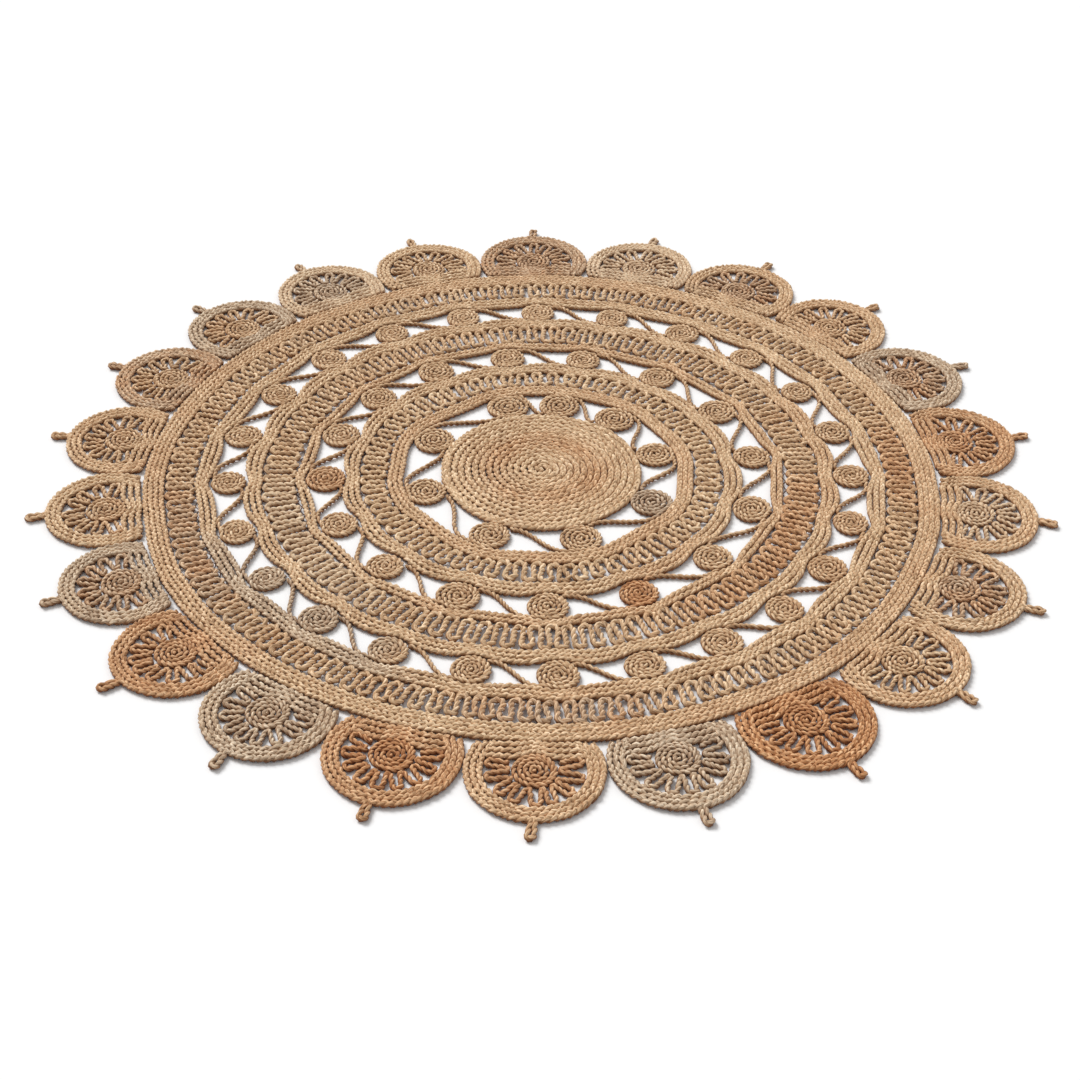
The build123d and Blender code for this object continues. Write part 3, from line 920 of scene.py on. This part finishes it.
# ---- petals ---------------------------------------------------------------------------------
@dataclass
class Petal:
    """One petal: a horseshoe border, short base rows, a rosette, a fan and a tip loop."""

    number: int
    bearing: Bearing
    radius: float  # outer radius of the border
    rug_edge: float  # outer radius of the outermost band
    fan_tone: Tone
    border_tone: Tone
    border_rows: int = 3
    base_rows: int = 3
    base_pitch: float = 7.2 * MM
    rosette: float = 29.6 * MM
    turns: float = 4.2
    fan_waves: int = 9
    fan_sweep: float = 236.0
    base_rise: float = 10 * MM  # how far the last base row curls up beside the rosette
    flare: float = 0.9  # 0 where the sides keep to the circle, 1 where they run straight inwards
    fan_cord: float = 6.0 * MM
    tip_length: float = 28 * MM
    loop_ends: tuple[float, float] = (6.2 * MM, 3.0 * MM)  # radius of a fan loop's outer and inner bends
    tip_eye: float = 4.4 * MM
    chance: np.random.Generator = field(init=False)

    def __post_init__(self) -> None:
        """Start the petal's own unevenness."""
        self.chance = np.random.default_rng(400 + self.number)

    @property
    def rosette_spot(self) -> float:
        """Distance from the rug's middle to the rosette's."""
        return self.rug_edge + self.base_rows * self.base_pitch + self.rosette + 2 * CORD_GAP

    def _toned(self, flat: np.ndarray, lay: Lay, tone: Tone) -> Route:
        """A route of this petal, turned to its bearing."""
        return route(turned(flat, self.bearing), lay.middle, ToneRing(tone))

    def _flared(self, reach: float, height: float) -> float:
        """Half a row's width below the petal's middle: between its circle and its neighbours."""
        circle = math.sqrt(max(reach**2 - (PETAL_CENTRE - height) ** 2, 0))
        return circle + self.flare * (reach * height / PETAL_CENTRE - circle)

    def border(self) -> list[Route]:
        """The border's rows, from outside in."""
        rows = []
        for row in range(self.border_rows):
            reach = self.radius - (row + 0.5) * PETAL_PITCH
            drop = math.asin(min(0.98, (PETAL_CENTRE - self.rug_edge - 3 * MM) / reach))
            flat = arc((0, PETAL_CENTRE), reach, math.pi + drop, -math.pi - 2 * drop, 2.5 * MM)
            for spot in flat[flat[:, 1] < PETAL_CENTRE]:
                spot[0] = math.copysign(self._flared(reach, spot[1]), spot[0])
            rows.append(self._toned(flat, BRAID, self.border_tone))
        return rows

    def base(self) -> list[Route]:
        """The short rows between the rug and the rosette."""
        inside = self.radius - self.border_rows * PETAL_PITCH
        rows = []
        for row in range(self.base_rows):
            middle = self.rug_edge + CORD_GAP + (row + 0.5) * self.base_pitch
            rise = self.base_rise * (row + 1) / self.base_rows
            reach = math.asin(self._flared(inside, middle) / middle) * 0.99
            flat = arc((0, 0), middle, math.pi / 2 + reach, -2 * reach, 2.5 * MM)
            beside = np.clip(np.abs(flat[:, 0]) / self.rosette, 0, 1)
            flat[:, 1] += rise * beside**2 * (3 - 2 * beside)
            rows.append(self._toned(flat, BRAID, self.border_tone))
        return rows

    def coil(self) -> Route:
        """The rosette."""
        flat = spiral(self.rosette, self.turns, self.rosette / self.turns, start=1.5 * MM, step=1.6 * MM)
        return self._toned(flat + [0, self.rosette_spot], ROSETTE_TWIST, self.fan_tone)

    def fan(self) -> Route:
        """The cord that runs out and back round the rosette in teardrop loops."""
        inside = self.radius - self.border_rows * PETAL_PITCH
        offset = self.rosette_spot - PETAL_CENTRE
        step = self.fan_sweep / (2 * self.fan_waves)
        pegs = []
        for k in range(2 * self.fan_waves + 1):
            angle = math.radians(-self.fan_sweep / 2 + k * step + self.chance.normal(0, 0.12) * step)
            outer = k % 2 == 1
            wall = math.sqrt(inside**2 - (offset * math.sin(angle)) ** 2) - offset * math.cos(angle)
            loop = self.loop_ends[0 if outer else 1] * self.chance.uniform(0.85, 1.1)
            inset = CORD_GAP + self.fan_cord / 2 + loop
            if math.cos(angle) < -0.2:
                wall = min(wall, (self.rosette - self.base_rise + inset) / -math.cos(angle))
            reach = wall - inset if outer else self.rosette + inset + self.chance.uniform(-1.5, 0.5) * MM
            spot = np.array([reach * math.sin(angle), self.rosette_spot + reach * math.cos(angle)])
            pegs.append(Peg(spot, loop, -1 if outer else 1))
        return self._toned(weave(pegs, 1.5 * MM), FAN_TWIST, self.fan_tone)

    def tip(self) -> Route:
        """The small loop at the petal's tip, leaning a little to one side."""
        lean = self.chance.uniform(-0.22, 0.22)
        edge = PETAL_CENTRE + self.radius
        top = edge + self.tip_length - self.tip_eye - self.fan_cord / 2
        pegs = [
            Peg(np.array([-2.6 * MM, edge - 3 * MM]), 0.5 * MM, 1),
            Peg(np.array([(top - edge) * math.sin(lean), top]), self.tip_eye, -1),
            Peg(np.array([2.6 * MM, edge - 3 * MM]), 0.5 * MM, 1),
        ]
        return self._toned(weave(pegs, 1.5 * MM), FAN_TWIST, self.border_tone)


@dataclass
class PetalBorder:
    """The ring of petals round the rug."""

    rug_edge: float
    bearings: Sequence[Bearing]

    def petals(self) -> list[Petal]:
        """Each petal, as wide as its neighbours leave room for."""
        made = []
        for k, bearing in enumerate(self.bearings):
            before = self.bearings[k - 1] - (360 if k == 0 else 0)
            after = self.bearings[(k + 1) % PETALS] + (360 if k == PETALS - 1 else 0)
            middle = (before + 2 * bearing + after) / 4
            radius = PETAL_CENTRE * math.sin(math.radians((after - before) / 4)) - CORD_GAP / 2
            fan_tone, border_tone = PETAL_TONES[k]
            made.append(Petal(k + 1, middle, radius, self.rug_edge, fan_tone, border_tone))
        return made

    def build(self, maker: RugMaker) -> None:
        """Lay every petal: its border is a piece of its own, the rest are pieces that petals share."""
        petals = self.petals()
        for petal in petals:
            node = f"petal_border_{petal.number:02d}"
            maker.add(node, petal.border(), BRAID, Slot.BRAIDED, 500 + petal.number)
        rows = [row for petal in petals for row in petal.base()]
        maker.add("petal_base_rows", rows, BRAID, Slot.BRAIDED, 601)
        maker.add("petal_rosettes", [p.coil() for p in petals], ROSETTE_TWIST, Slot.COILED, 602, 0.7 * MM)
        maker.add("petal_fans", [p.fan() for p in petals], FAN_TWIST, Slot.TWISTED, 603)
        maker.add("petal_tip_loops", [p.tip() for p in petals], FAN_TWIST, Slot.TWISTED, 604)


# ---- sewing ---------------------------------------------------------------------------------
STITCH = Lay(1, 0.55 * MM, 0.0, 0.0, 9 * MM, 1, sides=4, steps=3)


@dataclass
class Sewing:
    """The twine on the underside that zigzags across each seam."""

    span: float = 2.6 * MM  # how far a stitch reaches to each side of its seam
    spacing: float = 11 * MM

    def zigzag(self, line: np.ndarray, closed: bool) -> Route:
        """Stitches across a seam, given as points at any spacing."""
        ends = np.vstack([line, line[:1]]) if closed else line
        runs = np.concatenate([[0], np.cumsum(np.hypot(*np.diff(ends, axis=0).T))])
        count = max(2, 2 * int(runs[-1] / self.spacing / 2))
        marks = np.linspace(0, runs[-1], count, endpoint=not closed)
        spots = np.column_stack([np.interp(marks, runs, ends[:, axis]) for axis in (0, 1)])
        heading = np.gradient(spots, axis=0)
        heading /= np.linalg.norm(heading, axis=1)[:, None]
        across = np.column_stack([-heading[:, 1], heading[:, 0]])
        flat = spots + across * self.span * np.where(np.arange(count) % 2, 1, -1)[:, None]
        return route(flat, STITCH.middle + 0.1 * MM, ToneRing(Tone.PALE), closed)

    def ring(self, edge: Edge) -> Route:
        """Stitches all the way round the rug."""
        return self.zigzag(np.array([at(edge(b), b) for b in np.arange(0, 360, 1.0)]), True)

    def tack(self, radius: float, bearing: Bearing, length: float = 12 * MM) -> Route:
        """A few stitches beside a rosette."""
        half = math.degrees(length / 2 / radius)
        marks = np.linspace(bearing - half, bearing + half, 5)
        return self.zigzag(np.array([at(radius, b) for b in marks]), False)

    def border(self, petal: Petal) -> list[Route]:
        """Stitches between the rows of a petal's border."""
        seams = []
        for row in range(1, petal.border_rows):
            reach = petal.radius - row * PETAL_PITCH
            flat = arc((0, PETAL_CENTRE), reach, math.pi, -math.pi, 3 * MM)
            seams.append(self.zigzag(turned(flat, petal.bearing), False))
        return seams


# ---- studio ---------------------------------------------------------------------------------
@dataclass(frozen=True)
class Studio:
    """A white floor, even light from above and the camera."""

    floor_size: float = 60.0
    floor_tone: float = 0.95
    sky: float = 0.52
    sun: float = 2.4
    sun_spread: float = 28.0  # degrees of sky that the sun fills

    def build(self) -> None:
        """Set up the floor, the light and the camera."""
        self._floor()
        world = bpy.data.worlds.new("studio")
        world.use_nodes = True
        background = world.node_tree.nodes["Background"]
        background.inputs["Color"].default_value = (1, 1, 1, 1)
        background.inputs["Strength"].default_value = self.sky
        bpy.context.scene.world = world
        bpy.context.scene.view_settings.view_transform = "Standard"
        self._light("key", Vector((-1.3, 1.5, 2.2)), self.sun)
        self._camera()

    def _floor(self) -> None:
        """A plain pale floor, just under the rug."""
        half = self.floor_size / 2
        mesh = bpy.data.meshes.new("floor")
        corners = [(x * half, y * half, -0.2 * MM) for x, y in ((-1, -1), (1, -1), (1, 1), (-1, 1))]
        mesh.from_pydata(corners, [], [(0, 1, 2, 3)])
        floor = bpy.data.objects.new("floor", mesh)
        bpy.context.scene.collection.objects.link(floor)
        paint = bpy.data.materials.new("floor_white")
        paint.use_nodes = True
        shader = paint.node_tree.nodes["Principled BSDF"]
        shader.inputs["Base Color"].default_value = (self.floor_tone,) * 3 + (1,)
        shader.inputs["Roughness"].default_value = 0.9
        mesh.materials.append(paint)

    def _light(self, name: str, spot: Vector, power: float) -> None:
        """A broad distant light that shines from a spot towards the rug's middle."""
        lamp = bpy.data.lights.new(name, "SUN")
        lamp.angle = math.radians(self.sun_spread)
        lamp.energy = power
        holder = bpy.data.objects.new(name, lamp)
        holder.location = spot
        holder.rotation_euler = (-spot).to_track_quat("-Z", "Y").to_euler()
        bpy.context.scene.collection.objects.link(holder)

    @staticmethod
    def _camera(elevation: float = 37.18, roll: float = 0.577, distance: float = 2.645,
                aim: tuple[float, float, float] = (-0.9 * MM, -178.6 * MM, 10 * MM), lens: float = 62.26) -> None:
        """A camera that looks down along +Y."""
        tilt, turn = math.radians(elevation), math.radians(roll)
        back = Vector((0, -math.cos(tilt), math.sin(tilt)))
        right, up = Vector((1, 0, 0)), Vector((0, math.sin(tilt), math.cos(tilt)))
        level, rise = math.cos(turn) * right + math.sin(turn) * up, math.cos(turn) * up - math.sin(turn) * right
        data = bpy.data.cameras.new("camera")
        data.lens = lens
        data.sensor_width = 36.0
        camera = bpy.data.objects.new("camera", data)
        basis = Matrix((level, rise, back)).transposed()
        camera.matrix_world = Matrix.Translation(Vector(aim) + back * distance) @ basis.to_4x4()
        bpy.context.scene.collection.objects.link(camera)
        bpy.context.scene.camera = camera


# ---- the whole rug --------------------------------------------------------------------------
RING_TONES = {
    "band_1": ToneRing(Tone.GOLD),
    "band_2": ToneRing(Tone.STRAW, ((120, 160, Tone.GOLD),)),
    "band_3": ToneRing(Tone.GOLD, ((215, 265, Tone.STRAW),)),
    "band_4": ToneRing(Tone.STRAW, ((60, 110, Tone.GOLD),)),
    "band_5": ToneRing(Tone.STRAW, ((160, 185, Tone.GOLD), (200, 250, Tone.GREY))),
    "band_6": ToneRing(Tone.GOLD, ((180, 215, Tone.STRAW), (30, 80, Tone.STRAW))),
    "loops_1": ToneRing(Tone.STRAW, ((130, 160, Tone.GOLD),)),
    "loops_2": ToneRing(Tone.TAN, ((92, 150, Tone.ORANGE), (215, 265, Tone.PALE)), 12.0),
    "loops_3": ToneRing(Tone.TAN, ((232, 262, Tone.BROWN), (78, 96, Tone.ORANGE), (165, 190, Tone.BROWN)), 10.0),
    "rosettes_a": ToneRing(Tone.STRAW, ((106, 126, Tone.ASH),)),
    "rosettes_b": ToneRing(Tone.STRAW, ((149, 160, Tone.RUST), (259, 271, Tone.ORANGE))),
    "rosettes_c": ToneRing(Tone.STRAW, ((89, 134, Tone.GOLD), (205, 245, Tone.GREY))),
}
BAND_ROWS = {2: 3, 3: 2, 4: 3, 5: 3, 6: 4}


def main() -> None:
    """Build the studio, then the rug from the middle outwards, and sew it."""
    logging.basicConfig(level=logging.INFO, format="%(name)s %(message)s")
    Studio().build()
    maker = RugMaker()
    sewing = Sewing()

    outer = {n: half_width(f"braided_band_{n}") + BAND_SKIN for n in BAND_ROWS}
    inner = {n: outer[n] - rows * BRAID_PITCH for n, rows in BAND_ROWS.items()}
    medallion_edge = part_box("medallion_coil")[1][0]
    polygon = PolygonBand(medallion_edge + 2 * INNER_ROSETTE + 2 * CORD_GAP)

    Medallion().build(maker)
    BraidedBand("braided_band_1", polygon.edge, 3, RING_TONES["band_1"], 1).build(maker)
    ripples = {2: Ripple(MIDDLE_BEARINGS, 1), 3: Ripple(MIDDLE_BEARINGS, -1),
               4: Ripple(OUTER_BEARINGS, 1), 5: Ripple(OUTER_BEARINGS, -1)}
    for n, rows in BAND_ROWS.items():
        tones = RING_TONES[f"band_{n}"]
        BraidedBand(f"braided_band_{n}", growing(inner[n]), rows, tones, n, ripples.get(n)).build(maker)

    rim = polygon.edge(3 * BRAID_PITCH)
    looped = (("inner", rim, 2), ("middle", constant(outer[3]), 4), ("outer", constant(outer[5]), 6))
    for k, (name, near, band) in enumerate(looped, 1):
        far, tones = constant(inner[band]), RING_TONES[f"loops_{k}"]
        LoopedRing(f"{name}_looped_ring", near, far, LOOP_WAVES[name], tones, 20 + k).build(maker)

    rings = [
        ("inner", medallion_edge, polygon.edge(0), INNER_ROSETTE, medallion_edge + CORD_GAP + INNER_ROSETTE,
         INNER_BEARINGS, RING_TONES["rosettes_a"]),
    ]
    for name, low, high, bearings, tones in (
        ("middle", outer[2], inner[3], MIDDLE_BEARINGS, RING_TONES["rosettes_b"]),
        ("outer", outer[4], inner[5], OUTER_BEARINGS, RING_TONES["rosettes_c"]),
    ):
        size = (high - low) / 2 - CORD_GAP
        rings.append((name, low, constant(high), size, (low + high) / 2, bearings, tones))
    tacks = []
    for k, (name, low, far, size, middle, bearings, tones) in enumerate(rings):
        RosetteRing(name, constant(low), far, size, middle, bearings, tones, seed=31 + k).build(maker)
        tacks += [sewing.tack(middle + way * size, b) for b in bearings for way in (-1, 1)]
    maker.add("rosette_tacks", tacks, STITCH, Slot.TWINE, 71, 0.0)

    petals = PetalBorder(outer[6], PETAL_BEARINGS)
    petals.build(maker)

    seams = [sewing.ring(polygon.edge(row * BRAID_PITCH)) for row in (1, 2)]
    seams += [sewing.ring(constant(inner[n] + row * BRAID_PITCH)) for n in inner for row in range(1, BAND_ROWS[n])]
    maker.add("band_seam_twine", seams, STITCH, Slot.TWINE, 72, 0.0)
    sides = [rim] + [constant(r) for r in (inner[2], outer[3], inner[4], outer[5], inner[6])]
    maker.add("loop_seam_twine", [sewing.ring(side) for side in sides], STITCH, Slot.TWINE, 73, 0.0)
    hems = [seam for petal in petals.petals() for seam in sewing.border(petal)]
    maker.add("petal_seam_twine", hems, STITCH, Slot.TWINE, 74, 0.0)

    faces = sum(len(o.data.polygons) for o in bpy.data.objects if o.type == "MESH" and o.name.endswith("_strands"))
    log.info("whole rug: %d faces", faces)


if __name__ == "__main__":
    main()
